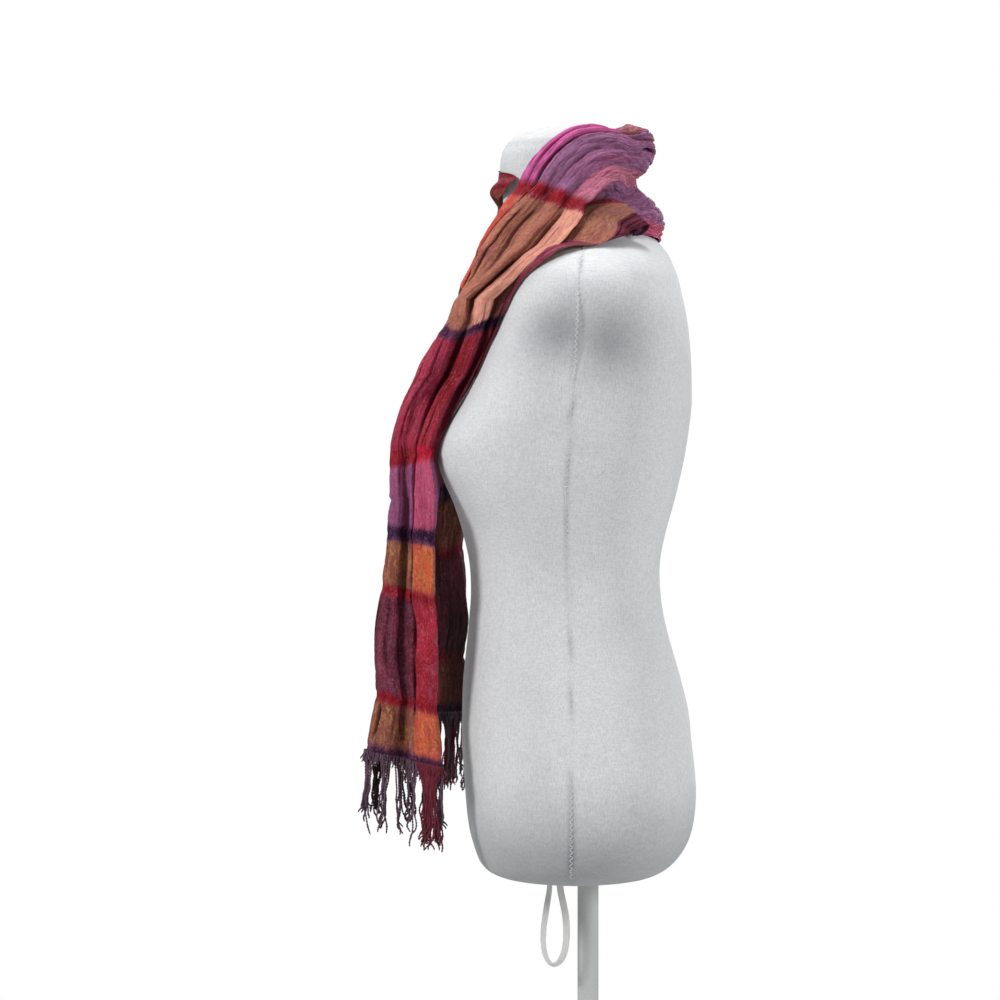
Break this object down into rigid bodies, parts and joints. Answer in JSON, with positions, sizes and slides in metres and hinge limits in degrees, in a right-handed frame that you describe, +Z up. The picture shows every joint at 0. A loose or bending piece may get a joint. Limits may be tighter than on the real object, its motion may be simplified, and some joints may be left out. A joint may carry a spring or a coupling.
{
  "type": "fringed crinkle scarf on a limbless dress form",
  "caption": "Long crinkled scarf with fringed ends, draped round the neck of a limbless dress form on a pole and round base.",
  "frame": {"origin": "centre of the round base's underside, on the floor, on the pole's axis", "axes": "+Z up along the pole; the dress form faces -X, and its left shoulder is at -Y"},
  "size_m": [0.3865, 0.344, 1.358],
  "materials": {
    "stand": "satin pale grey",
    "form_cover": "heathered jersey",
    "tie": "flat woven tape",
    "scarf_tail": "crinkled jacquard",
    "scarf_shoulder": "crinkled jacquard",
    "scarf_neck": "crinkled jacquard",
    "fringe": "twisted yarn"
  },
  "bodies": {
    "root": {"stand_base": "stand", "stand_pole": "stand", "dress_form": "form_cover", "cover_tie": "tie", "scarf_left_tail": "scarf_tail", "scarf_left_shoulder": "scarf_shoulder", "scarf_neck_wrap": "scarf_neck", "scarf_right_shoulder": "scarf_shoulder", "scarf_right_tail": "scarf_tail", "scarf_left_fringe": "fringe", "scarf_right_fringe": "fringe"}
  },
  "joints": []
}
